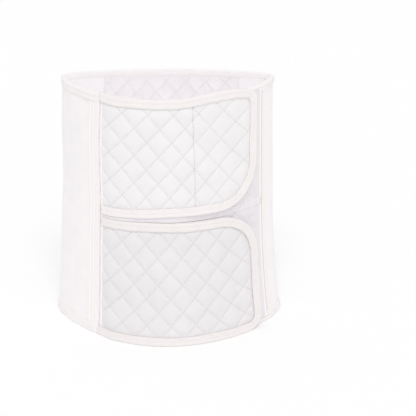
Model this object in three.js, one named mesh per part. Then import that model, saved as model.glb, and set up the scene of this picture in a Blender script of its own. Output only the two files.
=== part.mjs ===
// Abdominal binder: a tall quilted wrap, closed in front by two flaps and standing on its lower rim.
// Millimetres. Origin on the floor under the middle of the whole; +Z up, the flaps face -Y.
// Each piece is cut flat (u along the wrap, z up), then bent round the plan curve and set off from it by t.
import * as THREE from "three";

// Size of the wrap at its top rim, on the inner face
const HEIGHT = 300;
const HALF_WIDTH = 121.4;
const FRONT_DEPTH = 100;
const BACK_DEPTH = 24.5;

// Roundness of the plan: depth = (1 - across ^ first) ^ second
const FRONT_CURVE = [1.88, 0.69];
const BACK_CURVE = [1.6, 0.5];
const PLAN_POINTS = 120;
const LENGTH_STEPS = 40;

// Seams along the wrap, from the middle of the front (left is minus)
const LEFT_STRIP = [-97, -79];
const RIGHT_STRIP = [127, 145];
const BACK_PANEL = [208.7, 372.1];
const UNDER_PANEL_START = -76;
const RIM_START = -58;
const FLAP_END = 113;
const SEAM_GAP = 0.3;

// Layers: distance out from the plan curve to the inner and the outer face
const ELASTIC = [0.4, 3.4];
const PADDED = [0, 4];
const STRIP = [0, 5.2];
const RIM = [-0.6, 4.6];
const HOOK_PATCH = [4.3, 5.3];
const FLAP = [5.6, 9.6];
const FLAP_EDGE = [5.2, 10];
const RIM_RISE_AT_STRIP = 1.2;

// The flaps, and the panel under them, step down to the left strip from this place on the wrap
const FLAP_STEP = 4;
const FLAP_STEP_START = -60;
const FLAP_STEP_LENGTH = 18;

// Quilting: a diamond is two half pitches wide and two half pitches tall
const FRONT_QUILT = { across: 13.8, up: 16.35, u: -48.3, z: 218 };
const LOWER_FLAP_QUILT = { across: 13.8, up: 17.2, u: -48.3, z: 93.5 };
const BACK_QUILT = { across: 11.85, up: 13, u: 309, z: 272 };
const QUILT_DEPTH = 1.6;
const rowHeight = (row) => FRONT_QUILT.z + row * FRONT_QUILT.up;

// How the wrap stands, by height: width share, depth share, lean to the side
const STANCE = [
  [0, 1.116, 1.085, -1.2],
  [rowHeight(-10), 1.075, 1.06, -2],
  [rowHeight(-6), 1.042, 1.04, -2.5],
  [rowHeight(-3), 1.021, 1.03, -1.6],
  [rowHeight(2), 1.016, 1.01, -1.6],
  [HEIGHT, 1, 1, 0],
];

// Edge bindings: width, and their section as shares of the width and the thickness
const BAND = 10.5;
const BAND_SECTION = [
  [0, 0.3],
  [0, 0.7],
  [0.2, 1],
  [1, 1],
  [1, 0],
  [0.2, 0],
];

// Ridges of a boned strip: share of its width, share of its thickness
const STRIP_RIDGES = [
  [0, 0.7],
  [0.2, 0.88],
  [0.44, 0.76],
  [0.54, 1],
  [0.86, 1],
  [1, 0.72],
];

// Height at which the upper flap meets the lower one
const FLAP_SPLIT = HEIGHT * 0.52;

// Upper flap: its two long edges from the strip to where the corners begin.
// Rows are place on the wrap and height over lowBase or highBase. Starts and the corner's top are such heights.
const UPPER_FLAP = {
  lowBase: FLAP_SPLIT,
  low: [
    [5, 6.5],
    [59, 6.5],
  ],
  lowStart: -1.4,
  lowCorner: [54, 55],
  highBase: HEIGHT,
  high: [
    [60, 6.5],
    [20, 2.2],
  ],
  highStart: 1.5,
  highCorner: [18, 18],
  highCornerTop: 3.5,
};

// Lower flap: square to the floor below, rounded away above
const LOWER_FLAP = {
  lowBase: 0,
  low: [
    [5, 0],
    [95, 0],
  ],
  lowStart: 0,
  lowCorner: [18, 18],
  highBase: FLAP_SPLIT,
  high: [
    [59, -2.4],
    [-17, -1],
  ],
  highStart: -4.8,
  highCorner: [54, 55],
  highCornerTop: -2.4,
};
const CORNER_STEPS = 6;

// Fastener patches under the free ends of the flaps
const PATCH_ACROSS = [30, 84];
const PATCH_FROM_SPLIT = 36;
const PATCH_FROM_RIM = 18;
const UPPER_PATCH_HEIGHTS = [FLAP_SPLIT + PATCH_FROM_SPLIT, HEIGHT - PATCH_FROM_RIM];
const LOWER_PATCH_HEIGHTS = [PATCH_FROM_RIM, FLAP_SPLIT - PATCH_FROM_SPLIT];
const PATCH_CORNER = 6;

// Bends beside each side crease, and their spacing in the rest of the elastic
const CREASE_BENDS = [1.2, 3.5, 7, 13, 26];
const CREASE_REACH = 28;
const ELASTIC_BEND = 13;

const ELASTIC_WHITE = { color: 0xf7f2f3, roughness: 0.85 };
const QUILT_WHITE = { color: 0xf3f1f2, roughness: 0.9 };
const BINDING_CREAM = { color: 0xf9f3f0, roughness: 0.8 };
const HOOK_WHITE = { color: 0xf0eeee, roughness: 0.95 };

const TOUCH = 1e-4;
const lerp = THREE.MathUtils.lerp;
const clamp = THREE.MathUtils.clamp;

// The plan curve, once round from the middle of the front
function planCurve() {
  const points = [];
  for (let i = 0; i <= PLAN_POINTS; i++) {
    const angle = (2 * Math.PI * i) / PLAN_POINTS;
    const across = Math.sin(angle);
    const inFront = Math.cos(angle) > 0;
    const [first, second] = inFront ? FRONT_CURVE : BACK_CURVE;
    const depth = (1 - Math.abs(across) ** first) ** second;
    points.push(new THREE.Vector2(HALF_WIDTH * across, depth * (inFront ? -FRONT_DEPTH : BACK_DEPTH)));
  }
  const curve = new THREE.SplineCurve(points);
  curve.arcLengthDivisions = PLAN_POINTS * LENGTH_STEPS;
  return curve;
}
const PLAN = planCurve();
const LOOP = PLAN.getLength();
const CREASE = PLAN.getLengths()[(PLAN_POINTS * LENGTH_STEPS) / 4];

// Numbers from low to high in steps that fall on the anchor
function steps(low, high, step, anchor) {
  const list = [];
  const first = Math.ceil((low - anchor) / step);
  for (let i = first; anchor + i * step <= high; i++) list.push(anchor + i * step);
  return list;
}

// Where the cloth bends: one list for all pieces, so that the layers follow each other
function bendLines() {
  const leftCrease = LOOP - CREASE;
  const leftEnd = LOOP + LEFT_STRIP[0];
  const lines = [
    ...steps(LEFT_STRIP[0], CREASE - CREASE_REACH, FRONT_QUILT.across, FRONT_QUILT.u),
    ...steps(...BACK_PANEL, BACK_QUILT.across, BACK_QUILT.u),
    BACK_PANEL[1] + ELASTIC_BEND,
    ...steps(leftCrease + CREASE_REACH, leftEnd, ELASTIC_BEND, leftCrease),
  ];
  for (const crease of [CREASE, LOOP - CREASE]) {
    lines.push(crease);
    for (const away of CREASE_BENDS) lines.push(crease - away, crease + away);
  }
  return lines.map((u) => (u + LOOP) % LOOP).sort((a, b) => a - b);
}
const BENDS = bendLines();

// Every bend line between two places on the wrap, which may lie past one turn
function bendsBetween(low, high) {
  const turns = [-LOOP, 0, LOOP];
  return turns.flatMap((turn) => BENDS.map((u) => u + turn)).filter((u) => u > low && u < high);
}

const FOOTPRINTS = BENDS.map((u) => {
  const tangent = PLAN.getTangentAt(u / LOOP);
  return { u, at: PLAN.getPointAt(u / LOOP), out: new THREE.Vector2(tangent.y, -tangent.x) };
});

// Point and outward direction on the plan, straight from one bend to the next
function footprint(u) {
  const place = ((u % LOOP) + LOOP) % LOOP;
  const last = FOOTPRINTS.length - 1;
  const after = FOOTPRINTS.findIndex((f) => f.u >= place - TOUCH);
  const b = FOOTPRINTS[after < 0 ? 0 : after];
  const a = FOOTPRINTS[after <= 0 ? last : after - 1];
  const span = (b.u - a.u + LOOP) % LOOP;
  const share = ((place - a.u + LOOP) % LOOP) / span;
  return { at: a.at.clone().lerp(b.at, share), out: a.out.clone().lerp(b.out, share) };
}

// Width share, depth share and lean at a height
function stance(z) {
  const above = STANCE.findIndex((row) => row[0] >= z);
  const b = STANCE[clamp(above < 0 ? STANCE.length - 1 : above, 1, STANCE.length - 1)];
  const a = STANCE[STANCE.indexOf(b) - 1];
  const share = clamp((z - a[0]) / (b[0] - a[0]), 0, 1);
  return [1, 2, 3].map((i) => lerp(a[i], b[i], share));
}

function bent(u, z, t) {
  const { at, out } = footprint(u);
  const [wide, deep, lean] = stance(z);
  return [at.x * wide + out.x * t + lean, at.y * deep + out.y * t, z];
}

// A flat piece: corners [u, z, s] with s = 0 on the inner face and 1 on the outer, and many-sided faces
function flatPiece(outline) {
  const count = outline.length;
  const corners = [0, 1].flatMap((s) => outline.map(([u, z]) => [u, z, s]));
  const ring = outline.map((_, i) => i);
  const faces = [ring.map((i) => i + count), [...ring].reverse()];
  for (const i of ring) {
    const next = (i + 1) % count;
    faces.push([i, next, next + count, i + count]);
  }
  return { corners, faces };
}

// Cuts the faces along the line a * u + b * z = c; faceShare limits it to the inner or the outer face
function cutAlong(piece, [a, b, c], faceShare = null) {
  const { corners } = piece;
  const side = (i) => a * corners[i][0] + b * corners[i][1] - c;
  const onFace = (i) => faceShare === null || corners[i][2] === faceShare;
  const cuts = new Map();
  const cutOf = (i, j) => {
    const [si, sj] = [side(i), side(j)];
    const crosses = Math.min(si, sj) < -TOUCH && Math.max(si, sj) > TOUCH;
    if (!crosses || !onFace(i) || !onFace(j)) return [];
    const key = Math.min(i, j) + "," + Math.max(i, j);
    if (!cuts.has(key)) {
      const share = si / (si - sj);
      corners.push(corners[i].map((value, k) => lerp(value, corners[j][k], share)));
      cuts.set(key, corners.length - 1);
    }
    return [cuts.get(key)];
  };
  piece.faces = piece.faces.flatMap((face) => {
    const ring = face.flatMap((i, k) => [i, ...cutOf(i, face[(k + 1) % face.length])]);
    const above = ring.filter((i) => side(i) > -TOUCH);
    const below = ring.filter((i) => side(i) < TOUCH);
    const parted = above.length < ring.length && below.length < ring.length && ring.every(onFace);
    return parted ? [above, below] : [ring];
  });
}

// Triangles of one many-sided face, turned the way the face is turned
function trianglesOf(face, corners) {
  const normal = new THREE.Vector3();
  const points = face.map((i) => new THREE.Vector3(...corners[i]));
  points.forEach((p, i) => normal.add(p.clone().cross(points[(i + 1) % points.length])));
  const sizes = normal.toArray().map(Math.abs);
  const flat = sizes.indexOf(Math.max(...sizes));
  const [across, up] = [(flat + 1) % 3, (flat + 2) % 3];
  const drawn = points.map((p) => new THREE.Vector2(p.getComponent(across), p.getComponent(up)));
  const turn = THREE.ShapeUtils.isClockWise(drawn);
  return THREE.ShapeUtils.triangulateShape(drawn, []).map((triangle) => {
    const same = THREE.ShapeUtils.isClockWise(triangle.map((k) => drawn[k])) === turn;
    return (same ? triangle : [...triangle].reverse()).map((k) => face[k]);
  });
}

function spanOf(piece, axis) {
  const values = piece.corners.map((corner) => corner[axis]);
  return [Math.min(...values), Math.max(...values)];
}

// Cuts a piece at every bend line and at every height where the stance changes
function cutForBending(piece) {
  for (const u of bendsBetween(...spanOf(piece, 0))) cutAlong(piece, [1, 0, u]);
  for (const [z] of STANCE) cutAlong(piece, [0, 1, z]);
}

// Cuts one face along the stitched diagonals and the rows through their crossings
function cutForQuilting(piece, quilt, faceShare) {
  const [left, right] = spanOf(piece, 0);
  const [low, high] = spanOf(piece, 1);
  for (const z of steps(low, high, quilt.up, quilt.z)) cutAlong(piece, [0, 1, z], faceShare);
  const slope = quilt.up / quilt.across;
  for (const rise of [slope, -slope]) {
    const anchor = quilt.z - rise * quilt.u;
    const from = low - Math.max(rise * left, rise * right);
    const to = high - Math.min(rise * left, rise * right);
    for (const c of steps(from, to, 2 * quilt.up, anchor)) cutAlong(piece, [-rise, 1, c], faceShare);
  }
}

// Height of the padding: 0 on a stitched line, 1 in the middle of a diamond
function padding(quilt, u, z) {
  const [a, b] = [(u - quilt.u) / quilt.across, (z - quilt.z) / quilt.up];
  const toLine = (value) => Math.abs(value - Math.round(value));
  return 4 * toLine((a + b) / 2) * toLine((a - b) / 2);
}

// Bends a flat piece and makes it a named mesh; offset gives t from u, z and s
function meshOf(name, look, piece, offset) {
  const positions = piece.corners.flatMap(([u, z, s]) => bent(u, z, offset(u, z, s)));
  const geometry = new THREE.BufferGeometry();
  geometry.setAttribute("position", new THREE.Float32BufferAttribute(positions, 3));
  geometry.setIndex(piece.faces.flatMap((face) => trianglesOf(face, piece.corners)).flat());
  geometry.computeVertexNormals();
  const mesh = new THREE.Mesh(geometry, new THREE.MeshStandardMaterial({ ...look, metalness: 0 }));
  mesh.name = name;
  return mesh;
}

function rectangle([left, right], [low, high]) {
  return [
    [left, low],
    [right, low],
    [right, high],
    [left, high],
  ];
}

const BETWEEN_RIMS = [BAND + SEAM_GAP, HEIGHT - BAND - SEAM_GAP];

function smoothPanel(name, look, across, [inner, outer]) {
  const piece = flatPiece(rectangle(across, BETWEEN_RIMS));
  cutForBending(piece);
  return meshOf(name, look, piece, (u, z, s) => lerp(inner, outer, s));
}

// A padded panel, quilted on its outer face and, where it shows, on its inner face
function quiltedPanel(name, outline, quilt, [inner, outer], bothFaces, shift = () => 0) {
  const piece = flatPiece(outline);
  cutForBending(piece);
  cutForQuilting(piece, quilt, 1);
  if (bothFaces) cutForQuilting(piece, quilt, 0);
  return meshOf(name, QUILT_WHITE, piece, (u, z, s) => {
    const sunk = QUILT_DEPTH * (1 - padding(quilt, u, z));
    return shift(u) + (s ? outer - sunk : inner + (bothFaces ? sunk / 2 : 0));
  });
}

// How far a flap and the panel under it lie below their level, near the strip
function flapShift(u) {
  return -FLAP_STEP * clamp((FLAP_STEP_START - u) / FLAP_STEP_LENGTH, 0, 1);
}

// Outline of a flap, drawn in by inset on all sides but the sewn one
function flapOutline(flap, inset) {
  const start = LEFT_STRIP[1] + SEAM_GAP;
  const [lowAcross, lowUp] = flap.lowCorner;
  const [highAcross, highUp] = flap.highCorner;
  const low = flap.lowBase + inset;
  const high = flap.highBase - inset;
  const path = new THREE.Path();
  path.moveTo(start, low + flap.lowStart);
  for (const [u, z] of flap.low) path.lineTo(u, low + z);
  const lowMiddle = [FLAP_END - lowAcross, flap.lowBase + flap.low[1][1] + lowUp];
  const highMiddle = [FLAP_END - highAcross, flap.highBase + flap.highCornerTop - highUp];
  path.absellipse(...lowMiddle, lowAcross - inset, lowUp - inset, -Math.PI / 2, 0);
  path.absellipse(...highMiddle, highAcross - inset, highUp - inset, 0, Math.PI / 2);
  for (const [u, z] of flap.high) path.lineTo(u, high + z);
  path.lineTo(start, high + flap.highStart);
  const points = path.getPoints(CORNER_STEPS).map((p) => [p.x, p.y]);
  return points.filter(([u, z], i) => !i || Math.hypot(u - points[i - 1][0], z - points[i - 1][1]) > TOUCH);
}

// A band along an edge: the section's corners at each point of the edge, closed at both ends
function bandPiece(edgeAt) {
  const rows = BAND_SECTION.map(([in_, s]) => edgeAt(in_ * BAND).map(([u, z]) => [u, z, s]));
  const size = BAND_SECTION.length;
  const corners = rows[0].flatMap((_, i) => rows.map((row) => row[i]));
  const around = BAND_SECTION.map((_, k) => k);
  const last = (rows[0].length - 1) * size;
  const faces = [around, around.map((k) => last + k).reverse()];
  for (let i = 0; i < last; i += size) {
    for (const k of around) {
      const [a, b] = [i + k, i + ((k + 1) % size)];
      faces.push([a, a + size, b + size, b]);
    }
  }
  return { corners, faces };
}

function bindingMesh(name, edgeAt, offset) {
  const piece = bandPiece(edgeAt);
  cutForBending(piece);
  return meshOf(name, BINDING_CREAM, piece, offset);
}

// Rim of the body, from the strip that the flaps are sewn to, round the back, to its end under the flaps
function rimBinding(name, base, inward) {
  const [start, end] = [RIM_START, LOOP + LEFT_STRIP[1]];
  const ends = inward > 0 ? [start, end] : [end, start];
  const edgeAt = (inset) => ends.map((u) => [u, base + inward * inset]);
  return bindingMesh(name, edgeAt, (u, z, s) => lerp(RIM[0], RIM[1] + rimRise(u), s));
}

// The rim is thicker where it covers the top or foot of a boned strip
function rimRise(u) {
  const middles = [LEFT_STRIP, RIGHT_STRIP].map(([low, high]) => (low + high) / 2);
  const half = LEFT_STRIP[1] - LEFT_STRIP[0];
  const away = Math.min(...middles.map((m) => Math.min(Math.abs(u - m), Math.abs(u - LOOP - m))));
  return RIM_RISE_AT_STRIP * clamp(2 - (2 * away) / half, 0, 1);
}

function flapBinding(name, flap) {
  const offset = (u, z, s) => flapShift(u) + lerp(FLAP_EDGE[0], FLAP_EDGE[1], s);
  return bindingMesh(name, (inset) => flapOutline(flap, inset), offset);
}

function flapPanel(name, flap, quilt) {
  const outline = flapOutline(flap, BAND + SEAM_GAP);
  return quiltedPanel(name, outline, quilt, FLAP, false, flapShift);
}

// A boned strip with its ridges; facing is 1 where the flaps lie to its right, -1 to its left
function bonedStrip(name, [left, right], facing) {
  const piece = flatPiece(rectangle([left, right], BETWEEN_RIMS));
  cutForBending(piece);
  const width = right - left;
  const shareAt = (u) => (facing > 0 ? (u - left) / width : (right - u) / width);
  for (const [share] of STRIP_RIDGES.slice(1, -1)) {
    const u = facing > 0 ? left + share * width : right - share * width;
    cutAlong(piece, [1, 0, u], 1);
  }
  const ridge = (share) => {
    const next = Math.max(1, STRIP_RIDGES.findIndex(([at]) => at >= share - TOUCH));
    const [[a, low], [b, high]] = [STRIP_RIDGES[next - 1], STRIP_RIDGES[next]];
    return lerp(low, high, clamp((share - a) / (b - a), 0, 1));
  };
  return meshOf(name, BINDING_CREAM, piece, (u, z, s) => (s ? STRIP[1] * ridge(shareAt(u)) : STRIP[0]));
}

// A fastener patch with its corners taken off
function hookPatch(name, [low, high]) {
  const [left, right] = PATCH_ACROSS;
  const c = PATCH_CORNER;
  const outline = [
    [left + c, low],
    [right - c, low],
    [right, low + c],
    [right, high - c],
    [right - c, high],
    [left + c, high],
    [left, high - c],
    [left, low + c],
  ];
  const piece = flatPiece(outline);
  cutForBending(piece);
  return meshOf(name, HOOK_WHITE, piece, (u, z, s) => lerp(HOOK_PATCH[0], HOOK_PATCH[1], s));
}

const backAcross = [BACK_PANEL[0] + SEAM_GAP, BACK_PANEL[1] - SEAM_GAP];
const underAcross = [UNDER_PANEL_START, RIGHT_STRIP[0] - SEAM_GAP];
const leftAcross = [BACK_PANEL[1], LOOP + LEFT_STRIP[0] - SEAM_GAP];
const rightAcross = [RIGHT_STRIP[1] + SEAM_GAP, BACK_PANEL[0]];

const binder = new THREE.Group();
binder.name = "abdominal_binder";
binder.add(
  quiltedPanel("back_panel", rectangle(backAcross, BETWEEN_RIMS), BACK_QUILT, PADDED, true),
  smoothPanel("left_side_panel", ELASTIC_WHITE, leftAcross, ELASTIC),
  smoothPanel("right_side_panel", ELASTIC_WHITE, rightAcross, ELASTIC),
  bonedStrip("left_front_strip", LEFT_STRIP, 1),
  bonedStrip("right_front_strip", RIGHT_STRIP, -1),
  quiltedPanel("under_panel", rectangle(underAcross, BETWEEN_RIMS), FRONT_QUILT, PADDED, false, flapShift),
  flapPanel("upper_flap", UPPER_FLAP, FRONT_QUILT),
  flapPanel("lower_flap", LOWER_FLAP, LOWER_FLAP_QUILT),
  flapBinding("upper_flap_binding", UPPER_FLAP),
  flapBinding("lower_flap_binding", LOWER_FLAP),
  rimBinding("top_rim_binding", HEIGHT, -1),
  rimBinding("bottom_rim_binding", 0, 1),
  hookPatch("upper_hook_patch", UPPER_PATCH_HEIGHTS),
  hookPatch("lower_hook_patch", LOWER_PATCH_HEIGHTS),
);

// The origin moves to the floor under the middle of the whole
const middle = new THREE.Box3().setFromObject(binder, true).getCenter(new THREE.Vector3());
binder.position.set(-middle.x, -middle.y, 0);

export default binder;
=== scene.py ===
import math
import bpy
import numpy as np
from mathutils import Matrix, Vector


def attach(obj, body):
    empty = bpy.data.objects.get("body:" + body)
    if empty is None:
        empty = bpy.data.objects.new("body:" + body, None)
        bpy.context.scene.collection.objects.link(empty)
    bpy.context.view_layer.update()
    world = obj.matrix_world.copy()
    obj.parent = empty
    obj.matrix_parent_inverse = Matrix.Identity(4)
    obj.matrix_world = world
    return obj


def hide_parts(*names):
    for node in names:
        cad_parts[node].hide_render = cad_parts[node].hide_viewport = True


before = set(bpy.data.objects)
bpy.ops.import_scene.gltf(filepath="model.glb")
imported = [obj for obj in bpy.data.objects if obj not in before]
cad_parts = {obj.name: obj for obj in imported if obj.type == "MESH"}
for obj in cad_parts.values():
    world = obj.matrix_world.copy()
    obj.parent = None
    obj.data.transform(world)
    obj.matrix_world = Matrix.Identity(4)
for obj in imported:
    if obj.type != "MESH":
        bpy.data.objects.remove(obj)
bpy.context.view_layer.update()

# Size of the wrap at its top rim, in mm, and the shift that brings the middle of the whole to the origin
MM = 0.001
ORIGIN = (1.231, 43.445)
HEIGHT = 300.0
HALF_WIDTH = 121.4
FRONT_DEPTH = 100.0
BACK_DEPTH = 24.5

# Roundness of the plan: depth = (1 - across ^ first) ^ second
FRONT_CURVE = (1.88, 0.69)
BACK_CURVE = (1.6, 0.5)
# Points on the plan curve, steps of its smoothed tables, and reach of their smoothing in mm
PLAN_POINTS = 24001
QUARTER = (PLAN_POINTS - 1) // 4
STEPS = 8000
PLAN_SOFTNESS = 0.6
NORMAL_SOFTNESS = 1.2

# How the wrap stands, by height: width share, depth share, lean to the side
STANCE = [
    (0, 1.116, 1.085, -1.2),
    (54.5, 1.075, 1.06, -2.0),
    (119.9, 1.042, 1.04, -2.5),
    (168.95, 1.021, 1.03, -1.6),
    (250.7, 1.016, 1.01, -1.6),
    (300, 1.0, 1.0, 0.0),
]
# Heights of its smoothed table, reach of the smoothing, and where the drift fades towards the floor
STANCE_RANGE = (-80.0, 400.0)
STANCE_SOFTNESS = 14.0
CALM_HEIGHT = 12.0

# Seams along the wrap, from the middle of the front, left is minus
LEFT_STRIP = (-97.0, -79.0)
RIGHT_STRIP = (127.0, 145.0)
BACK_PANEL = (208.7, 372.1)
UNDER_PANEL_START = -84.0
RIM_START = -58.0
FLAP_END = 113.0
SEAM_GAP = 0.3

# Width of a binding on the outside and inside, and how far from its edge the cloth under it ends
BAND = 10.5
INNER_BAND = 7.0
TUCK = 5.0

# Quilting: half a diamond across and up, one crossing, and the distance between stitched lines
BACK_QUILT = dict(across=11.85, up=13.0, u=309.0, z=272.0)
BACK_SPACING = 17.5
UPPER_ROWS = dict(up=16.35, z=218.0)
LOWER_ROWS = dict(up=17.2, z=93.5)
FRONT_SPACING = 20.5
# Half diamonds counted along the front, from powers of the place in decimetres, and how the rows fan out
FRONT_COUNT = (3.525, 7.895, 0.253, -1.444)
FRONT_FAN = (-0.25, -0.558)
FAN_MIDDLE = 219.0
LOWER_FAN = -0.3
# Share of the padding that is one broad swell, the rest rises close to the stitches from a flat floor
BROAD_SHARE = 0.6
VALLEY_FLOOR = 0.45

# The flaps, each with its free edge as places (u, z): straight runs between rounded corners
UPPER_FLAP = dict(
    low=[(5, 162.5), (59, 162.5)], low_start=154.6, low_corner=(54, 55),
    high=[(-20, 301.6), (20, 302.6), (40, 305.0), (60, 306.5), (80, 306.0)], high_start=301.5,
    high_corner=(18, 18), top=303.5)
LOWER_FLAP = dict(
    low=[(5, 0), (95, 0)], low_start=0, low_corner=(18, 18),
    high=[(-17, 155), (59, 153.6)], high_start=151.2,
    high_corner=(54, 55), top=153.6)
CORNER_STEPS = 40
EDGE_STEP = 1.4
EDGE_ROUNDS = 14

# Layers: distance out from the plan curve, and how far padding swells and hems pinch
# FLAP_CLOTH is the distance out from FLAP_FACE
FLAP_FACE = 5.6
FLAP_CLOTH = 2.5
FLAP_SWELL = 2.35
UNDER_CLOTH = 2.6
UNDER_SWELL = 1.8
BACK_CLOTH = 2.6
BACK_SWELL = 1.7
LINING_FACE = 1.4
LINING_SWELL = 1.9
LINING_PINCH = 1.5
HEM_FACE = -0.3
HEM_STEP = 0.8
SIDE_FACE = 3.4
RIM_RISE = 1.0

# The flaps step down to the left strip from this place on the wrap
FLAP_STEP = 4.0
FLAP_STEP_START = -60.0
FLAP_STEP_LENGTH = 18.0

# The upright line of stitches on the upper flap: place, lean and reach
LINE_U = 32.0
LINE_LEAN = 3.5
LINE_FROM = 175
LINE_OVER = 117
LINE_REACH = (173.0, 292.5)

# The under panel bulges into the gap between the flaps, and rises to its right end
GAP_CLOTH = 4.7
GAP_FOLD = 4.9
UNDER_END_RISE = 2.8

# Section of a strip, from its edge on the side panel to the piping on the flap: place across, height
STRIP_SECTION = [
    (0, 3.3), (0.9, 3.7), (2.0, 4.7), (3.0, 4.9), (4.0, 4.4), (5.0, 4.2), (6.4, 4.3), (7.4, 4.9),
    (8.4, 4.9), (9.2, 4.5), (10.2, 5.0), (11.5, 5.4), (13.5, 5.6), (17.3, 5.6), (18.2, 5.2), (18.8, 4.2),
    (19.3, 4.2), (20.0, 5.3), (20.8, 6.0), (21.8, 6.1), (22.6, 5.5), (23.0, 4.6),
]
STRIP_ACROSS, STRIP_RISE = np.array(STRIP_SECTION).T
PIPING_FROM = 19.2
PIPING_FACE = 4.0
STRIP_FACE = 0.1
# Name, place of the edge on the side panel, way to the front, and how much wider than the section
STRIPS = [("left_front_strip", LEFT_STRIP[0], 1, 1.0), ("right_front_strip", 150.0, -1, 1.13)]

# Section of a folded binding: distance from the edge, height above the cloth's inner face
OUTER_SIDE = [
    (BAND + 0.2, 3.6), (BAND + 0.1, 4.35), (BAND - 0.25, 4.75), (BAND - 1.4, 4.85), (8.0, 4.9), (6.6, 5.05),
    (5.6, 4.85), (5.0, 4.6), (4.4, 4.85), (3.4, 5.15), (2.0, 5.2), (0.9, 5.0), (0.3, 4.6), (0.0, 3.8),
]
INNER_SIDE = [
    (0.0, 0.6), (0.35, -0.2), (1.1, -0.7), (2.4, -0.95), (4.0, -1.0), (5.4, -0.95),
    (INNER_BAND - 0.7, -0.85), (INNER_BAND - 0.1, -0.6), (INNER_BAND + 0.1, 0.0), (INNER_BAND + 0.2, 1.2),
]
SECTION = np.array(OUTER_SIDE + INNER_SIDE)
# Points of the section above this height are on its outer side
OUTER_FROM = 2

# Near mid-height a flap's binding ends under the left strip's piping, farther away at the seam
EDGE_FROM = LEFT_STRIP[1] + 2.6
EDGE_GAP_HALF = 60

# Hook patches: low and high end, left and right, and their two faces
HOOK_HEIGHTS = (("upper_hook_patch", (192, 282)), ("lower_hook_patch", (18, 120)))
HOOK_ACROSS = (30, 84)
HOOK_FACES = (4.35, 5.25)

# Grid steps
PANEL_STEP = 1.3
UNDER_STEP = 1.8
GAP_STEP = 0.45
SIDE_STEP = 1.6
SIDE_ROW = 2.6
HOOK_STEP = 2.0
FLAP_COLUMNS = 170
FLAP_ROWS = 118
STRIP_ROWS = 180
CREASE_SLOPE = 0.08

# Threads: distance between stitches, length, radius, lift over the cloth, sides of the thread
FLAP_THREAD = dict(pitch=3.7, length=2.6, radius=0.32, lift=0.22)
LINING_THREAD = dict(pitch=3.6, length=2.5, radius=0.26, lift=-0.1, sides=4)
BACK_THREAD = dict(pitch=3.7, length=2.6, radius=0.3, lift=0.18, sides=4)
UNDER_THREAD = dict(pitch=3.7, length=2.6, radius=0.3, lift=0.15)
LINE_THREAD = dict(pitch=3.2, length=2.4, radius=0.38, lift=0.15)
SEAM_THREAD = dict(pitch=3.5, length=2.5, radius=0.26, lift=0.05, sides=4)
# A stitch thins out to its ends: place along it and share of its radius
STITCH_SHAPE = ((-0.5, 0.25), (-0.36, 0.8), (0.0, 1.0), (0.36, 0.8), (0.5, 0.25))
# Rows of seam stitches: how far in from a binding's side, how far from its fold, and places across a strip
SEAM_IN = 1.2
MIDDLE_SEAM = 5.0
STRIP_SEAMS = (5.2, 10.6, 15.6)

# Colours
QUILT_COLOUR = (0.845, 0.822, 0.834)
# Painted shade: the lower flap is the same cotton as the upper flap, painted darker to stand in for shade
# falling on it.
SHADED_LOWER_QUILT_COLOUR = (0.79, 0.766, 0.782)
LINING_COLOUR = (0.86, 0.833, 0.853)
# Painted shade: the under panel is the lining cotton painted darker, to stand in for the shade under the
# flaps.
SHADED_UNDER_COLOUR = (0.80, 0.768, 0.792)
SIDE_COLOUR = (0.915, 0.88, 0.888)
SIDE_LINING_COLOUR = (0.905, 0.895, 0.905)
BINDING_COLOUR = (0.874, 0.832, 0.823)
# Painted shade: the lower flap's binding is the same tape as the upper one, painted darker to stand in for
# shade falling on it.
SHADED_LOWER_BINDING_COLOUR = (0.848, 0.806, 0.796)
RIM_COLOUR = (0.905, 0.872, 0.875)
HOOK_COLOUR = (0.84, 0.83, 0.83)
# Painted shade: these threads are painted grey, darker than the white thread, to stand in for the shade of
# needle holes and dimples along the stitched lines.
SHADED_THREAD_COLOUR = (0.70, 0.682, 0.705)
SHADED_LINE_THREAD_COLOUR = (0.56, 0.545, 0.57)
SHADED_LINING_THREAD_COLOUR = (0.76, 0.72, 0.75)
SEAM_THREAD_COLOUR = (0.87, 0.82, 0.80)
FLOOR_COLOUR = (0.96, 0.96, 0.96)
# Bands of a strip: place across in mm, colour. The cream and white bands are the tape's own colours; the
# darker bands in its grooves and at its edges are painted shade.
STRIP_BANDS_AND_SHADE = [
    (0.3, (0.885, 0.85, 0.86)),
    (2.2, (0.92, 0.89, 0.895)),
    (4.6, (0.92, 0.89, 0.90)),
    (6.3, (0.87, 0.835, 0.85)),
    (8.0, (0.94, 0.91, 0.92)),
    (9.2, (0.93, 0.89, 0.885)),
    (10.2, (0.93, 0.88, 0.86)),
    (17.5, (0.91, 0.86, 0.845)),
    (18.6, (0.74, 0.68, 0.72)),
    (19.5, (0.74, 0.685, 0.725)),
    (20.2, (0.92, 0.905, 0.92)),
    (22.3, (0.93, 0.915, 0.93)),
    (23.0, (0.84, 0.82, 0.85)),
]

# Camera: focal length and picture width in pixels, tilt down, place it looks at, distance in mm
FOCAL_PX = 1463.8
PICTURE_PX = 416
SENSOR_MM = 36.0
TILT = math.radians(21.08)
AIM = (47.5 + ORIGIN[0], ORIGIN[1], 130.9)
DISTANCE = 1800.0
FLOOR_HALF = 9.0

# Light: strength of the sky, one sun as turn to the right, height above the floor, strength and softness
SKY = 0.825
SUN = dict(turn=4.0, height=52.0, strength=0.85, softness=25.0)
# A soft panel inside the hollow lifts the lining: place, width and height in metres, tilt up, power
LINING_LAMP = dict(place=(0.02, 0.016, 0.04), width=0.14, height=0.07, up=88.0, power=0.195)
GAMMA = 1.1


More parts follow.
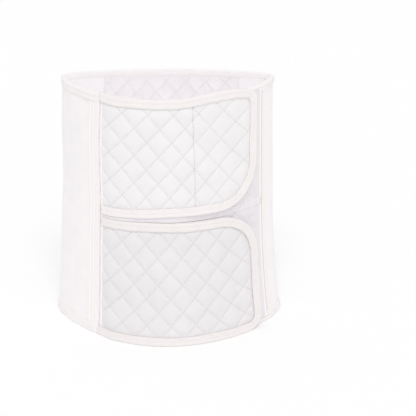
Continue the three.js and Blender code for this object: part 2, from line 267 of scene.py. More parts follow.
# Plan and stance
def plan_table():
    """The plan curve at the top rim, and the length along it."""
    angle = np.linspace(0, 2 * np.pi, PLAN_POINTS)
    across = np.sin(angle)
    front = np.cos(angle) > 0
    first = np.where(front, FRONT_CURVE[0], BACK_CURVE[0])
    second = np.where(front, FRONT_CURVE[1], BACK_CURVE[1])
    depth = np.clip(1 - np.abs(across) ** first, 0, 1) ** second
    x = HALF_WIDTH * across
    y = depth * np.where(front, -FRONT_DEPTH, BACK_DEPTH)
    along = np.r_[0, np.cumsum(np.hypot(np.diff(x), np.diff(y)))]
    return x, y, along


def smooth_round(values, reach):
    """Smooths a table that goes once round the wrap."""
    n = len(values)
    k = np.arange(-n // 2, n // 2)
    kernel = np.exp(-0.5 * (k / reach) ** 2)
    kernel /= kernel.sum()
    return np.real(np.fft.ifft(np.fft.fft(values) * np.fft.fft(np.fft.ifftshift(kernel))))


PX, PY, ALONG = plan_table()
LOOP = ALONG[-1]
CREASE = ALONG[QUARTER]
U_TABLE = np.arange(STEPS) * LOOP / STEPS
X_TABLE = smooth_round(np.interp(U_TABLE, ALONG, PX), PLAN_SOFTNESS * STEPS / LOOP)
Y_TABLE = smooth_round(np.interp(U_TABLE, ALONG, PY), PLAN_SOFTNESS * STEPS / LOOP)
TX = np.roll(X_TABLE, -1) - np.roll(X_TABLE, 1)
TY = np.roll(Y_TABLE, -1) - np.roll(Y_TABLE, 1)
TL = np.hypot(TX, TY)
NX_TABLE = smooth_round(TY / TL, NORMAL_SOFTNESS * STEPS / LOOP)
NY_TABLE = smooth_round(-TX / TL, NORMAL_SOFTNESS * STEPS / LOOP)


def from_table(table, u):
    place = np.mod(u, LOOP) * STEPS / LOOP
    low = np.floor(place).astype(int) % STEPS
    share = place - np.floor(place)
    return table[low] * (1 - share) + table[(low + 1) % STEPS] * share


def stance_tables():
    z = np.arange(*STANCE_RANGE, 1.0)
    rows = np.array(STANCE)
    kernel = np.exp(-0.5 * (np.arange(-50, 51) / STANCE_SOFTNESS) ** 2)
    kernel /= kernel.sum()
    tables = []
    for column in (1, 2, 3):
        value = np.interp(z, rows[:, 0], rows[:, column])
        low_slope = (rows[1, column] - rows[0, column]) / (rows[1, 0] - rows[0, 0])
        value = np.where(z < 0, rows[0, column] + low_slope * z, value)
        tables.append(np.convolve(value, kernel, "same"))
    return z, tables


STANCE_Z, STANCE_TABLES = stance_tables()


def drift(u, z):
    """Slow unevenness of the cloth, the same for every layer."""
    x = from_table(X_TABLE, u)
    y = from_table(Y_TABLE, u)
    a = np.sin(x / 31.0 + 0.6) * np.sin(z / 47.0 + y / 60.0 + 1.1)
    b = np.sin(x / 17.0 - z / 71.0 + 2.0) * np.sin(z / 29.0 + 0.4)
    return 0.45 * a + 0.25 * b


def bent(u, z, t):
    """Points in metres from places on the flat cloth: u along the wrap, z up and t out, in mm."""
    u, z, t = np.broadcast_arrays(u, z, t)
    wide, deep, lean = (np.interp(z, STANCE_Z, table) for table in STANCE_TABLES)
    calm = np.clip(z / CALM_HEIGHT, 0, 1)
    off = t + drift(u, z) * calm
    x = from_table(X_TABLE, u) * wide + from_table(NX_TABLE, u) * off + lean
    y = from_table(Y_TABLE, u) * deep + from_table(NY_TABLE, u) * off
    return np.stack([x + ORIGIN[0], y + ORIGIN[1], z], -1) * MM


def smoothstep(low, high, value):
    share = np.clip((value - low) / (high - low), 0, 1)
    return share * share * (3 - 2 * share)


def from_rim(z):
    """Distance to the nearer rim."""
    return np.minimum(HEIGHT - z, z)


# Quilting patterns: crossings are where a + b and a - b are even
def back_lattice(u, z):
    return (u - BACK_QUILT["u"]) / BACK_QUILT["across"], (z - BACK_QUILT["z"]) / BACK_QUILT["up"]


def front_count(u, fan):
    place = u / 100
    even = sum(share * place ** power for power, share in enumerate(FRONT_COUNT))
    return even + (FRONT_FAN[0] + FRONT_FAN[1] * place) * fan


def upper_lattice(u, z):
    return front_count(u, (z - FAN_MIDDLE) / 100), (z - UPPER_ROWS["z"]) / UPPER_ROWS["up"]


def lower_lattice(u, z):
    return front_count(u, LOWER_FAN), (z - LOWER_ROWS["z"]) / LOWER_ROWS["up"]


def quilt_padding(u, z, lattice, spacing=FRONT_SPACING):
    """0 on a stitched diagonal, nearly 1 in the middle of a diamond."""
    a, b = lattice(u, z)
    broad = 1.0
    crisp = 1.0
    for lines in ((a + b) / 2, (a - b) / 2):
        away = np.abs(lines - np.round(lines))
        broad = broad * np.sin(np.pi * away)
        crisp = crisp * (1 - np.exp(-np.maximum(away * spacing - VALLEY_FLOOR, 0)))
    return BROAD_SHARE * broad + (1 - BROAD_SHARE) * crisp


# Outlines of the flaps
def stitch_line(z):
    """Place of the upright line of stitches on the upper flap."""
    return LINE_U - LINE_LEAN * np.clip((z - LINE_FROM) / LINE_OVER, 0, 1.2) ** 1.7


def flap_shift(u):
    return -FLAP_STEP * np.clip((FLAP_STEP_START - u) / FLAP_STEP_LENGTH, 0, 1)


def flap_paths(flap, inset):
    """Lower and upper edge of a flap, drawn in by inset, each from left to right."""
    start = LEFT_STRIP[1] - SEAM_GAP
    (low_across, low_up), (high_across, high_up) = flap["low_corner"], flap["high_corner"]
    base, top = flap["low"][-1][1], flap["top"]
    turn = np.linspace(0, np.pi / 2, CORNER_STEPS)
    low = [(start, flap["low_start"] + inset)] + [(u, z + inset) for u, z in flap["low"]]
    low_u = FLAP_END - low_across + (low_across - inset) * np.sin(turn)
    low_z = base + low_up - (low_up - inset) * np.cos(turn)
    high = [(start, flap["high_start"] - inset)] + [(u, z - inset) for u, z in flap["high"]]
    high_u = FLAP_END - high_across + (high_across - inset) * np.sin(turn)
    high_z = top - high_up + (high_up - inset) * np.cos(turn)
    return np.array(low + list(zip(low_u, low_z))), np.array(high + list(zip(high_u, high_z)))


def resample(path, step):
    along = np.r_[0, np.cumsum(np.hypot(*np.diff(path, axis=0).T))]
    count = max(2, int(round(along[-1] / step)) + 1)
    at = np.linspace(0, along[-1], count)
    return np.stack([np.interp(at, along, path[:, 0]), np.interp(at, along, path[:, 1])], -1)


def flap_edge(flap):
    """The free edge of a flap as a dense path: along the bottom, round the end and back along the top."""
    low, high = flap_paths(flap, 0)
    path = np.vstack([low, high[::-1]])
    keep = np.r_[True, np.hypot(*np.diff(path, axis=0).T) > 0.01]
    return resample(path[keep], EDGE_STEP)


def soften(path, rounds):
    """Rounds the small corners of a path, keeping its ends."""
    out = path.copy()
    for _ in range(rounds):
        out[1:-1] = 0.25 * out[:-2] + 0.5 * out[1:-1] + 0.25 * out[2:]
    return out


def inward(path):
    """Unit normals to the left of a path."""
    d = np.gradient(path, axis=0)
    d /= np.hypot(d[:, 0], d[:, 1])[:, None]
    return np.stack([-d[:, 1], d[:, 0]], -1)


def distance_to(path, u, z):
    """Distance from places to a path, by every second one of its points."""
    best = np.full(np.shape(u), 1e9)
    for a, b in path[::2]:
        best = np.minimum(best, (u - a) ** 2 + (z - b) ** 2)
    return np.sqrt(best)


FLAPS = {"upper_flap": UPPER_FLAP, "lower_flap": LOWER_FLAP}
LATTICES = {"upper_flap": upper_lattice, "lower_flap": lower_lattice}
EDGES = {name: soften(flap_edge(flap), EDGE_ROUNDS) for name, flap in FLAPS.items()}


# Faces of the cloth: distance out from the plan curve at each place
def flap_outer(name):
    edge = EDGES[name]
    upper = name == "upper_flap"

    def height(u, z):
        pad = quilt_padding(u, z, LATTICES[name])
        past = u - stitch_line(z)
        stiff = 1 - 0.3 * smoothstep(-2, 4, past) * upper
        pinch = smoothstep(BAND - 2.5, BAND + 8, distance_to(edge, u, z))
        left = smoothstep(-78.5, -70, u)
        swell = FLAP_SWELL * stiff * pad * pinch * (0.35 + 0.65 * left)
        line = 0.0
        if upper:
            line = -1.2 * np.exp(-(past / 1.2) ** 2) + 0.4 * smoothstep(0, 6, past)
        return FLAP_FACE + flap_shift(u) + FLAP_CLOTH + swell + line

    return height


def flap_inner(u, z):
    return FLAP_FACE + flap_shift(u) + 0 * z


def hem_inner(z):
    return HEM_FACE + HEM_STEP * smoothstep(INNER_BAND - 2, INNER_BAND + 12, from_rim(z))


def on_back(u):
    """1 on the back panel, 0 at its side seams."""
    left = smoothstep(BACK_PANEL[0] - 1, BACK_PANEL[0] + 6, u)
    return left * smoothstep(-BACK_PANEL[1] - 1, -BACK_PANEL[1] + 6, -u)


def back_inner(u, z):
    pinch = smoothstep(INNER_BAND - 2, INNER_BAND + 7, from_rim(z))
    pad = quilt_padding(u, z, back_lattice, BACK_SPACING)
    deep = LINING_FACE - LINING_SWELL * pad * pinch - LINING_PINCH * (1 - pinch)
    return hem_inner(z) + (deep - hem_inner(z)) * on_back(u)


def back_outer(u, z):
    pinch = smoothstep(BAND - 2, BAND + 8, from_rim(z))
    pad = quilt_padding(u, z, back_lattice, BACK_SPACING)
    return BACK_CLOTH + BACK_SWELL * pad * pinch * (0.3 + 0.7 * on_back(u))


def under_outer(u, z):
    pinch = smoothstep(BAND - 2, BAND + 8, from_rim(z))
    side = smoothstep(-120, -112, -u)
    above = np.interp(u, *zip((LEFT_STRIP[1], UPPER_FLAP["low_start"]), *UPPER_FLAP["low"]))
    below = np.interp(u, *zip((LEFT_STRIP[1], LOWER_FLAP["high_start"]), *LOWER_FLAP["high"]))
    away = np.abs(z - (above + below) / 2) / (above - below) * 2
    narrow = 1 - 0.75 * smoothstep(0, 50, u)
    level = UNDER_END_RISE * smoothstep(106, 115, u)
    fold = GAP_FOLD * (1 - smoothstep(0.85, 1.08, away)) * narrow * (1 - 0.3 * smoothstep(-60, -10, u))
    fold = fold * smoothstep(-77.5, -73.5, u)
    opening = (1 - smoothstep(1.2, 2.4, away)) * (1 - smoothstep(60, 100, u))
    padding = UNDER_CLOTH + UNDER_SWELL * quilt_padding(u, z, upper_lattice) * pinch * side
    return flap_shift(u) + padding * (1 - opening) + GAP_CLOTH * opening + fold + level


def under_inner(u, z):
    return flap_shift(u) + 0.2 + 0 * z


def side_outer(u, z):
    ripples = 0.12 * np.sin(u / 2.9 + 0.4 * np.sin(z / 37.0))
    return SIDE_FACE + ripples + 0.1 * np.sin(z / 23.0 + u / 9.0)


def side_inner(u, z):
    return hem_inner(z) + 0.08 * np.sin(u / 3.1)


def strip_across(u, start, facing, wider):
    return (u - start) * facing / wider


def strip_outer(start, facing, wider):
    def height(u, z):
        across = strip_across(u, start, facing, wider)
        return np.interp(across, STRIP_ACROSS, STRIP_RISE) + 0.06 * np.sin(z / 1.9) * (across > 9.5)

    return height


def strip_inner(start, facing, wider):
    def height(u, z):
        across = strip_across(u, start, facing, wider)
        return np.where(across > PIPING_FROM, PIPING_FACE, STRIP_FACE) + 0 * z

    return height


def rim_rise(u):
    """The rims pass over the strips."""
    rise = 0.0
    for low, high in (LEFT_STRIP, RIGHT_STRIP):
        for turn in (0, LOOP):
            away = np.abs(u - turn - (low + high) / 2)
            rise = rise + RIM_RISE * (1 - smoothstep(8, 15, away))
    return rise


def top_share(u):
    """The top rim's band is narrower beside the right strip."""
    return 1 - 0.27 * smoothstep(104, 126, u) * (1 - smoothstep(190, 215, u))


# Meshes
def new_object(name, points, faces, uvs):
    mesh = bpy.data.meshes.new(name)
    mesh.from_pydata(points.reshape(-1, 3).tolist(), [], faces)
    layer = mesh.uv_layers.new(name="cloth")
    index = np.empty(len(mesh.loops), dtype=np.int32)
    mesh.loops.foreach_get("vertex_index", index)
    layer.data.foreach_set("uv", np.asarray(uvs, dtype=np.float32).reshape(-1, 2)[index].ravel())
    mesh.polygons.foreach_set("use_smooth", np.ones(len(mesh.polygons), dtype=bool))
    mesh.update()
    obj = bpy.data.objects.new(name, mesh)
    bpy.context.collection.objects.link(obj)
    return obj


def grid_faces(rows, cols, offset=0, flip=False):
    i, j = np.meshgrid(np.arange(rows - 1), np.arange(cols - 1), indexing="ij")
    a = (i * cols + j + offset).ravel()
    quad = np.stack([a, a + cols, a + cols + 1, a + 1], -1)
    return (quad[:, ::-1] if flip else quad).tolist()


def thick_cloth(name, u, z, inner, outer, across=None):
    """A closed sheet over a grid of places: u and z are arrays of the same shape, columns first."""
    rows, cols = u.shape
    outside = bent(u, z, outer(u, z))
    inside = bent(u, z, inner(u, z))
    count = rows * cols
    faces = grid_faces(rows, cols) + grid_faces(rows, cols, count, flip=True)
    border = [i * cols for i in range(rows)]
    border += [(rows - 1) * cols + j for j in range(1, cols)]
    border += [i * cols + cols - 1 for i in range(rows - 2, -1, -1)]
    border += list(range(cols - 2, 0, -1))
    for k, a in enumerate(border):
        b = border[(k + 1) % len(border)]
        faces.append([b, a, a + count, b + count])
    own = u if across is None else across
    uvs = np.concatenate([np.stack([own, z], -1).reshape(-1, 2)] * 2) * MM
    points = np.concatenate([outside.reshape(-1, 3), inside.reshape(-1, 3)])
    piece = new_object(name, points, faces, uvs)
    piece["sheet_faces"] = (rows - 1) * (cols - 1)
    return piece


def panel_grid(left, right, low, high, step=PANEL_STEP, finer=None):
    """An even grid, with closer rows between the two heights in finer."""
    across = np.linspace(left, right, int((right - left) / step) + 2)
    up = np.linspace(low, high, int((high - low) / step) + 2)
    if finer:
        outside = (up < finer[0]) | (up > finer[1])
        up = np.sort(np.r_[up[outside], np.arange(finer[0], finer[1], GAP_STEP)])
    return np.meshgrid(across, up, indexing="ij")


def crease_grid(left, right, low, high, crease):
    """Columns closer together near the side crease."""
    across = [left]
    while across[-1] < right:
        away = abs(across[-1] - crease)
        across.append(across[-1] + np.clip(0.25 + away * CREASE_SLOPE, 0.25, SIDE_STEP))
    across[-1] = right
    up = np.linspace(low, high, int((high - low) / SIDE_ROW) + 2)
    return np.meshgrid(np.array(across), up, indexing="ij")


def flap_grid(flap, inset):
    """Columns from edge to edge of a flap, closer together towards its free end."""
    low, high = flap_paths(flap, inset)
    left, right = LEFT_STRIP[1] - SEAM_GAP, FLAP_END - inset - 0.05
    share = np.linspace(0, 1, FLAP_COLUMNS)
    across = left + (right - left) * (share * 0.75 + 0.25 * np.sin(share * np.pi / 2))
    bottom = np.interp(across, low[:, 0], low[:, 1])
    top = np.interp(across, high[:, 0], high[:, 1])
    up = np.linspace(0, 1, FLAP_ROWS)
    z = bottom[:, None] + (top - bottom)[:, None] * up[None, :]
    return np.broadcast_to(across[:, None], z.shape), z


def rim_places(start, end):
    """Places along a rim, closer together near the two side creases."""
    places = [start]
    while places[-1] < end:
        away = min(abs(places[-1] - CREASE), abs(places[-1] - (LOOP - CREASE)))
        places.append(places[-1] + np.clip(0.3 + away * CREASE_SLOPE, 0.3, SIDE_STEP))
    places[-1] = end
    return np.array(places)


def section_loops(path_u, path_z, normal, lift, rise, share):
    """Places (u, z, t) of the binding's section at each point of its path, and the length along the path."""
    along = np.r_[0, np.cumsum(np.hypot(np.diff(path_u), np.diff(path_z)))]
    ripple = 0.18 * np.sin(along / 3.3 + np.sin(along / 11.0)) + 0.12 * np.sin(along / 1.7)
    uneven = 1 + 0.02 * np.sin(along / 9.0 + 0.5)
    loops = np.empty((len(path_u), len(SECTION), 3))
    for k, (inset, t) in enumerate(SECTION):
        outer = t > OUTER_FROM
        grow = uneven * (share if outer else 1.0)
        loops[:, k, 0] = path_u + normal[:, 0] * inset * grow
        loops[:, k, 1] = path_z + normal[:, 1] * inset * grow
        loops[:, k, 2] = t + lift + (ripple + rise if outer else -0.5 * ripple) * (inset > 0.2)
    return loops, along


def binding(name, path_u, path_z, normal, lift, rise=0.0, share=1.0):
    """A folded tape along a path: rise lifts its outer side, share narrows it."""
    loops, along = section_loops(path_u, path_z, normal, lift, rise, share)
    count, size = loops.shape[:2]
    points = bent(loops[..., 0], loops[..., 1], loops[..., 2]).reshape(-1, 3)
    faces = []
    for k in range(size):
        n = (k + 1) % size
        a = np.arange(count - 1) * size
        faces += np.stack([a + k, a + n, a + n + size, a + k + size], -1).tolist()
    faces.append(list(range(size))[::-1])
    faces.append([(count - 1) * size + k for k in range(size)])
    across = np.r_[0, np.cumsum(np.hypot(*np.diff(SECTION, axis=0).T))]
    uvs = np.stack(np.broadcast_arrays(along[:, None], across[None, :]), -1) * MM
    return new_object(name, points, faces, uvs)


def stitch_faces(start, sides):
    """Faces of one stitch, whose points begin at start."""
    faces = []
    for r in range(len(STITCH_SHAPE) - 1):
        for q in range(sides):
            a, b = start + r * sides + q, start + r * sides + (q + 1) % sides
            faces.append([a, b, b + sides, a + sides])
    last = start + (len(STITCH_SHAPE) - 1) * sides
    faces.append([start + q for q in range(sides)][::-1])
    faces.append([last + q for q in range(sides)])
    return faces


def stitches(name, rows, pitch, length, radius, lift=0.0, sides=6):
    """Short threads along paths; a row is (u, z, t) arrays of a dense path."""
    points, faces = [], []
    ring = [(math.cos(a), math.sin(a)) for a in np.arange(sides) * 2 * math.pi / sides]
    for u, z, t in rows:
        line = bent(u, z, t) / MM
        out = (bent(u, z, t + 1.0) - bent(u, z, t)) / MM
        along = np.r_[0, np.cumsum(np.linalg.norm(np.diff(line, axis=0), axis=1))]
        count = int(along[-1] // pitch)
        for k in range(count):
            middle = (k + 0.5) * along[-1] / count
            places = [middle + share * length for share, _ in STITCH_SHAPE]
            at = [np.array([np.interp(place, along, line[:, d]) for d in range(3)]) for place in places]
            normal = np.array([np.interp(middle, along, out[:, d]) for d in range(3)])
            ahead = at[-1] - at[0]
            ahead /= np.linalg.norm(ahead) + 1e-9
            normal -= ahead * normal.dot(ahead)
            normal /= np.linalg.norm(normal)
            across = np.cross(ahead, normal)
            faces += stitch_faces(len(points), sides)
            for spot, (_, size) in zip(at, STITCH_SHAPE):
                centre = spot + normal * (lift - radius * (1 - size) * 1.2)
                points += [centre + (across * c + normal * s) * radius * size for c, s in ring]
    return new_object(name, np.array(points) * MM, faces, np.zeros((len(points), 2)))


# Materials
def material(name, colour, roughness=0.9, sheen=0.25):
    mat = bpy.data.materials.new(name)
    mat.use_nodes = True
    nodes, links = mat.node_tree.nodes, mat.node_tree.links
    shader = nodes["Principled BSDF"]
    shader.inputs["Base Color"].default_value = (*colour, 1)
    shader.inputs["Roughness"].default_value = roughness
    shader.inputs["Sheen Weight"].default_value = sheen
    shader.inputs["Sheen Roughness"].default_value = 0.5
    shader.inputs["Specular IOR Level"].default_value = 0.25
    return mat, nodes, links, shader


def mapped(nodes, links, scale, turn=0.0):
    """The cloth's own coordinates, in metres, scaled and turned."""
    place = nodes.new("ShaderNodeUVMap")
    place.uv_map = "cloth"
    change = nodes.new("ShaderNodeMapping")
    change.inputs["Scale"].default_value = (*scale, 1)
    change.inputs["Rotation"].default_value = (0, 0, turn)
    links.new(place.outputs["UV"], change.inputs["Vector"])
    return change.outputs["Vector"]


def wave(nodes, links, vector, direction="X", distortion=0.0):
    node = nodes.new("ShaderNodeTexWave")
    node.bands_direction = direction
    node.inputs["Scale"].default_value = 1.0
    node.inputs["Distortion"].default_value = distortion
    node.inputs["Detail"].default_value = 1.0
    links.new(vector, node.inputs["Vector"])
    return node.outputs["Fac"]


def noise(nodes, links, scale, detail=3.0):
    place = nodes.new("ShaderNodeTexCoord")
    node = nodes.new("ShaderNodeTexNoise")
    node.inputs["Scale"].default_value = scale
    node.inputs["Detail"].default_value = detail
    links.new(place.outputs["Object"], node.inputs["Vector"])
    return node.outputs["Fac"]


def combine(nodes, links, kind, a, b):
    node = nodes.new("ShaderNodeMath")
    node.operation = kind
    links.new(a, node.inputs[0])
    if isinstance(b, float):
        node.inputs[1].default_value = b
    else:
        links.new(b, node.inputs[1])
    return node.outputs[0]


def tint(nodes, links, shader, factor, colour, spread):
    """Base colour between a darker and a lighter tone, by a factor."""
    ramp = nodes.new("ShaderNodeValToRGB")
    low, high = ramp.color_ramp.elements
    low.position = 0.3
    low.color = (*[c * (1 - spread) for c in colour], 1)
    high.position = 0.7
    high.color = (*[min(1.0, c * (1 + spread)) for c in colour], 1)
    links.new(factor, ramp.inputs["Fac"])
    links.new(ramp.outputs["Color"], shader.inputs["Base Color"])


def bump(nodes, links, shader, height, strength, distance):
    node = nodes.new("ShaderNodeBump")
    node.inputs["Strength"].default_value = strength
    node.inputs["Distance"].default_value = distance
    links.new(height, node.inputs["Height"])
    links.new(node.outputs["Normal"], shader.inputs["Normal"])


def woven(name, colour, thread_mm=0.55, strength=0.35):
    """Plain weave, with slow tone changes."""
    mat, nodes, links, shader = material(name, colour, 0.92)
    turns = 1000 / thread_mm / math.pi * 0.314
    vector = mapped(nodes, links, (turns, turns))
    warp = wave(nodes, links, vector, "X", 0.4)
    weft = wave(nodes, links, vector, "Y", 0.4)
    cloth = combine(nodes, links, "MULTIPLY", warp, weft)
    height = combine(nodes, links, "ADD", cloth, noise(nodes, links, 900.0, 2.0))
    tint(nodes, links, shader, noise(nodes, links, 38.0), colour, 0.02)
    bump(nodes, links, shader, height, strength, 0.00025)
    return mat


def knitted(name, colour):
    """Elastic knit with fine upright ribs."""
    mat, nodes, links, shader = material(name, colour, 0.88, 0.3)
    vector = mapped(nodes, links, (260.0, 420.0))
    ribs = wave(nodes, links, vector, "X", 0.6)
    rows = wave(nodes, links, vector, "Y", 0.8)
    height = combine(nodes, links, "ADD", ribs, combine(nodes, links, "MULTIPLY", rows, 0.45))
    tint(nodes, links, shader, noise(nodes, links, 55.0, 4.0), colour, 0.018)
    bump(nodes, links, shader, height, 0.4, 0.00022)
    return mat


def twill(nodes, links):
    """Fine slanting ribs with some roughness."""
    ribs = wave(nodes, links, mapped(nodes, links, (380.0, 380.0), 0.8), "X", 0.3)
    return combine(nodes, links, "ADD", ribs, noise(nodes, links, 700.0, 2.0))


def taped(name, colour, roughness=0.8, sheen=0.35):
    """Twill tape."""
    mat, nodes, links, shader = material(name, colour, roughness, sheen)
    tint(nodes, links, shader, noise(nodes, links, 60.0), colour, 0.015)
    bump(nodes, links, shader, twill(nodes, links), 0.35, 0.0002)
    return mat


def banded(name, bands, width):
    """Tape with lengthwise bands of colour: rows are place across in mm and colour."""
    mat, nodes, links, shader = material(name, bands[0][1], 0.8, 0.35)
    place = nodes.new("ShaderNodeUVMap")
    place.uv_map = "cloth"
    parts = nodes.new("ShaderNodeSeparateXYZ")
    links.new(place.outputs["UV"], parts.inputs[0])
    share = combine(nodes, links, "MULTIPLY", parts.outputs[0], 1000.0 / width)
    ramp = nodes.new("ShaderNodeValToRGB")
    stops = ramp.color_ramp.elements
    for index, (across, colour) in enumerate(bands):
        stop = stops[index] if index < 2 else stops.new(across / width)
        stop.position = across / width
        stop.color = (*colour, 1)
    links.new(share, ramp.inputs["Fac"])
    links.new(ramp.outputs["Color"], shader.inputs["Base Color"])
    bump(nodes, links, shader, twill(nodes, links), 0.3, 0.0002)
    return mat


def thread(name, colour):
    return material(name, colour, 0.7, 0.2)[0]


QUILT_MAT = woven("quilted_cotton", QUILT_COLOUR)
SHADED_LOWER_QUILT_MAT = woven("lower_cotton_painted_shade", SHADED_LOWER_QUILT_COLOUR)
LINING_MAT = woven("lining_cotton", LINING_COLOUR)
SHADED_UNDER_MAT = woven("under_cotton_painted_shade", SHADED_UNDER_COLOUR)
SIDE_MAT = knitted("elastic_knit", SIDE_COLOUR)
SIDE_LINING_MAT = knitted("elastic_lining", SIDE_LINING_COLOUR)
BINDING_MAT = taped("binding_tape", BINDING_COLOUR, 0.6, 0.9)
SHADED_LOWER_BINDING_MAT = taped("lower_binding_tape_painted_shade", SHADED_LOWER_BINDING_COLOUR, 0.6, 0.9)
RIM_MAT = taped("rim_tape", RIM_COLOUR)
STRIP_AND_SHADE_MAT = banded("strip_tape_and_painted_shade", STRIP_BANDS_AND_SHADE, STRIP_SECTION[-1][0])
SHADED_THREAD_MAT = thread("quilting_thread_painted_shade", SHADED_THREAD_COLOUR)
SHADED_LINE_THREAD_MAT = thread("line_thread_painted_shade", SHADED_LINE_THREAD_COLOUR)
SHADED_LINING_THREAD_MAT = thread("lining_thread_painted_shade", SHADED_LINING_THREAD_COLOUR)
SEAM_MAT = thread("seam_thread", SEAM_THREAD_COLOUR)
HOOK_MAT = woven("hook_tape", HOOK_COLOUR, 0.9, 0.6)
FLAP_MATS = {"upper_flap": (QUILT_MAT, BINDING_MAT), "lower_flap": (SHADED_LOWER_QUILT_MAT, SHADED_LOWER_BINDING_MAT)}


def dress(obj, mat, node=None, inner=None):
    """Gives a piece its material, and a sheet another one inside, and puts it in the frame."""
    obj.data.materials.append(mat)
    if inner:
        obj.data.materials.append(inner)
        index = np.zeros(len(obj.data.polygons), dtype=np.int32)
        index[obj["sheet_faces"]:2 * obj["sheet_faces"]] = 1
        obj.data.polygons.foreach_set("material_index", index)
    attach(obj, "root")
    if node:
        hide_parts(node)
    return obj


# Panels
def make_back():
    u, z = panel_grid(BACK_PANEL[0] + SEAM_GAP, BACK_PANEL[1] - SEAM_GAP, TUCK, HEIGHT - TUCK)
    back = thick_cloth("back_quilt", u, z, back_inner, back_outer)
    dress(back, LINING_MAT, "back_panel")


def make_under_panel():
    """Between the ends of the top rim no binding covers the panel's edge, so the edge rises there."""
    gap = (LOWER_FLAP["high_start"] - 3, UPPER_FLAP["low"][0][1] + 3)
    left, right = UNDER_PANEL_START, RIGHT_STRIP[0] - SEAM_GAP
    u, z = panel_grid(left, right, TUCK, HEIGHT - TUCK, UNDER_STEP, finer=gap)
    beside = 1 - smoothstep(RIM_START - 4, RIM_START + 1, u)
    z = z + 3.5 * beside * smoothstep(HEIGHT - 30, HEIGHT - TUCK, z)
    under = thick_cloth("under_quilt", u, z, under_inner, under_outer)
    dress(under, SHADED_UNDER_MAT, "under_panel")


def make_flaps():
    for name, flap in FLAPS.items():
        u, z = flap_grid(flap, TUCK)
        piece = thick_cloth(name + "_quilt", u, z, flap_inner, flap_outer(name))
        dress(piece, FLAP_MATS[name][0], name)


def make_sides():
    """The wrap is wider below than on its plan curve, so the knit is cut wider than the piece is there."""
    left_side = ("left_side", BACK_PANEL[1] - 0.6, LOOP + LEFT_STRIP[0] + 0.5, LOOP - CREASE)
    right_side = ("right_side", RIGHT_STRIP[1] + 0.2, BACK_PANEL[0] + 0.6, CREASE)
    for name, left, right, crease in (left_side, right_side):
        u, z = crease_grid(left, right, TUCK, HEIGHT - TUCK, crease)
        piece = thick_cloth(name, u, z, side_inner, side_outer)
        dress(piece, SIDE_MAT, name + "_panel", inner=SIDE_LINING_MAT)


def make_strips():
    """The tape rises over its ribs and piping, so it is cut wider than the strip is across."""
    for name, start, facing, wider in STRIPS:
        between = (STRIP_ACROSS[:-1] + STRIP_ACROSS[1:]) / 2
        across = np.sort(start + facing * wider * np.r_[STRIP_ACROSS, between])
        up = np.linspace(TUCK, HEIGHT - TUCK, STRIP_ROWS)
        u, z = np.meshgrid(across, up, indexing="ij")
        shape = (start, facing, wider)
        own = strip_across(u, *shape)
        piece = thick_cloth(name + "_tape", u, z, strip_inner(*shape), strip_outer(*shape), own)
        dress(piece, STRIP_AND_SHADE_MAT, name)


def make_bindings():
    for name, edge in EDGES.items():
        beyond_gap = np.abs(edge[:, 1] - HEIGHT / 2) > EDGE_GAP_HALF
        edge = edge[(edge[:, 0] > EDGE_FROM) | beyond_gap]
        lift = FLAP_FACE + flap_shift(edge[:, 0])
        piece = binding(name + "_edge", edge[:, 0], edge[:, 1], inward(edge), lift)
        dress(piece, FLAP_MATS[name][1], name + "_binding")
    u = rim_places(RIM_START, LOOP + LEFT_STRIP[1])
    flat = np.zeros_like(u)
    up = np.stack([flat, flat + 1], -1)
    low_rim = binding("bottom_rim_edge", u, flat, up, 0.0, rim_rise(u))
    dress(low_rim, RIM_MAT, "bottom_rim_binding")
    back = u[::-1]
    top_rim = binding("top_rim_edge", back, flat + HEIGHT, -up, 0.0, rim_rise(back), top_share(back))
    dress(top_rim, RIM_MAT, "top_rim_binding")


def make_hooks():
    for name, (low, high) in HOOK_HEIGHTS:
        u, z = panel_grid(*HOOK_ACROSS, low, high, HOOK_STEP)
        inner, outer = (lambda a, b, face=face: face + 0 * a for face in HOOK_FACES)
        piece = thick_cloth(name + "_tape", u, z, inner, outer)
        dress(piece, HOOK_MAT, name)


# Stitching
def quilt_rows(left, right, low, high, lattice, height, inside=None):
    """Stitched diagonals over a panel, broken where inside is false."""
    rows = []
    places = np.linspace(left - 5, right + 5, 400)
    z = np.arange(low, high, 0.8)
    grid = np.broadcast_arrays(*lattice(places[None, :], z[:, None]))
    counts, ups = grid[0], grid[1][:, 0]
    reach = int(max(abs(counts).max(), abs(ups).max())) + 2
    for turn in (1, -1):
        for k in range(-reach, reach + 1):
            wanted = 2 * k - turn * ups
            u = [np.interp(w, row, places, left=np.nan, right=np.nan) for w, row in zip(wanted, counts)]
            u = np.array(u)
            keep = (u > left) & (u < right)
            if inside:
                keep[keep] = inside(u[keep], z[keep])
            cuts = np.flatnonzero(np.diff(keep.astype(int))) + 1
            for run in np.split(np.arange(len(u)), cuts):
                if len(run) > 6 and keep[run[0]]:
                    rows.append((u[run], z[run], height(u[run], z[run])))
    return rows


def stitch_flaps():
    for name, edge in EDGES.items():
        low, high = edge[:, 1].min() + BAND, edge[:, 1].max() - BAND
        inside = lambda a, b, edge=edge: distance_to(edge, a, b) > BAND + 1.0
        rows = quilt_rows(-75.5, FLAP_END - BAND, low, high, LATTICES[name], flap_outer(name), inside)
        dress(stitches(name + "_quilting", rows, **FLAP_THREAD), SHADED_THREAD_MAT)


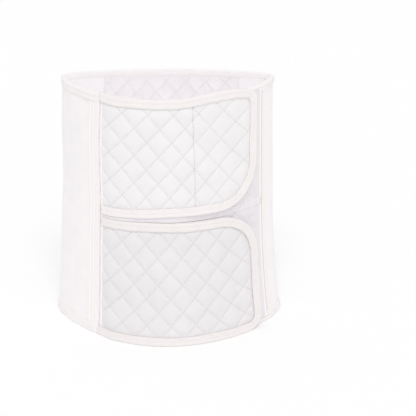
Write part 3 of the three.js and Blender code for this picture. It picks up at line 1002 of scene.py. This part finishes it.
def stitch_panels():
    left, right = BACK_PANEL[0] + 2, BACK_PANEL[1] - 2
    rows = quilt_rows(left, right, BAND, HEIGHT - 8, back_lattice, back_inner)
    dress(stitches("lining_quilting", rows, **LINING_THREAD), SHADED_LINING_THREAD_MAT)
    rows = quilt_rows(left, right, BAND + 1, HEIGHT - BAND - 1, back_lattice, back_outer)
    dress(stitches("back_quilting", rows, **BACK_THREAD), SHADED_THREAD_MAT)
    rows = quilt_rows(20.0, 118.0, 110.0, 220.0, upper_lattice, under_outer)
    dress(stitches("under_quilting", rows, **UNDER_THREAD), SHADED_LINING_THREAD_MAT)


def stitch_upright_line():
    z = np.linspace(*LINE_REACH, 200)
    u = stitch_line(z)
    rows = [(u, z, flap_outer("upper_flap")(u, z))]
    dress(stitches("flap_stitch_line", rows, **LINE_THREAD), SHADED_LINE_THREAD_MAT)


def flap_seams():
    rows = []
    for edge in EDGES.values():
        side = inward(edge)
        for inset, t in ((MIDDLE_SEAM, 4.55), (BAND - SEAM_IN, 4.85)):
            u, z = edge[:, 0] + side[:, 0] * inset, edge[:, 1] + side[:, 1] * inset
            rows.append((u, z, FLAP_FACE + flap_shift(u) + t))
    return rows


def rim_seams():
    rows = []
    u = rim_places(RIM_START, LOOP + LEFT_STRIP[1])
    for inset in (BAND - SEAM_IN, MIDDLE_SEAM):
        rows.append((u, np.full_like(u, inset), 4.75 + rim_rise(u)))
        rows.append((u, HEIGHT - inset * top_share(u), 4.75 + rim_rise(u)))
    for z in (INNER_BAND - SEAM_IN, HEIGHT - INNER_BAND + SEAM_IN):
        rows.append((u, np.full_like(u, z), np.full_like(u, -0.9)))
    return rows


def strip_seams():
    rows = []
    z = np.linspace(BAND, HEIGHT - BAND, 260)
    for _, start, facing, wider in STRIPS:
        for across in STRIP_SEAMS:
            u = np.full_like(z, start + facing * wider * across)
            rows.append((u, z, strip_outer(start, facing, wider)(u, z)))
    return rows


def stitch_seams():
    rows = flap_seams() + rim_seams() + strip_seams()
    dress(stitches("seam_stitching", rows, **SEAM_THREAD), SEAM_MAT)


# Camera, floor and light
def link_new(name, data):
    obj = bpy.data.objects.new(name, data)
    bpy.context.collection.objects.link(obj)
    return obj


def make_camera():
    camera = bpy.data.cameras.new("camera")
    camera.sensor_width = SENSOR_MM
    camera.lens = SENSOR_MM * FOCAL_PX / PICTURE_PX
    camera.clip_end = 100
    holder = link_new("camera", camera)
    back = Vector((0, -math.cos(TILT), math.sin(TILT))) * DISTANCE
    holder.location = (Vector(AIM) + back) * MM
    holder.rotation_euler = (math.pi / 2 - TILT, 0, 0)
    bpy.context.scene.camera = holder


def make_floor():
    mesh = bpy.data.meshes.new("floor")
    half = FLOOR_HALF
    corners = [(-half, -half, 0), (half, -half, 0), (half, half, 0), (-half, half, 0)]
    mesh.from_pydata(corners, [], [(0, 1, 2, 3)])
    floor = link_new("floor", mesh)
    mat = bpy.data.materials.new("floor")
    mat.use_nodes = True
    shader = mat.node_tree.nodes["Principled BSDF"]
    shader.inputs["Base Color"].default_value = (*FLOOR_COLOUR, 1)
    shader.inputs["Roughness"].default_value = 0.9
    shader.inputs["Specular IOR Level"].default_value = 0.1
    mesh.materials.append(mat)


def make_light():
    world = bpy.data.worlds.new("studio")
    bpy.context.scene.world = world
    world.use_nodes = True
    sky = world.node_tree.nodes["Background"]
    sky.inputs["Color"].default_value = (1, 1, 1, 1)
    sky.inputs["Strength"].default_value = SKY
    sun = bpy.data.lights.new("key", "SUN")
    sun.energy = SUN["strength"]
    sun.angle = math.radians(SUN["softness"])
    link_new("key", sun).rotation_euler = (math.radians(90 - SUN["height"]), 0, math.radians(SUN["turn"]))
    panel = bpy.data.lights.new("lining_lamp", "AREA")
    panel.shape = "RECTANGLE"
    panel.size = LINING_LAMP["width"]
    panel.size_y = LINING_LAMP["height"]
    panel.energy = LINING_LAMP["power"]
    lamp = link_new("lining_lamp", panel)
    lamp.location = LINING_LAMP["place"]
    lamp.rotation_euler = (math.radians(90 + LINING_LAMP["up"]), 0, 0)
    lamp.visible_camera = False


def set_view():
    view = bpy.context.scene.view_settings
    view.view_transform = "Standard"
    view.look = "None"
    view.gamma = GAMMA


make_back()
make_under_panel()
make_flaps()
make_sides()
make_strips()
make_bindings()
make_hooks()
stitch_flaps()
stitch_panels()
stitch_upright_line()
stitch_seams()
make_camera()
make_floor()
make_light()
set_view()
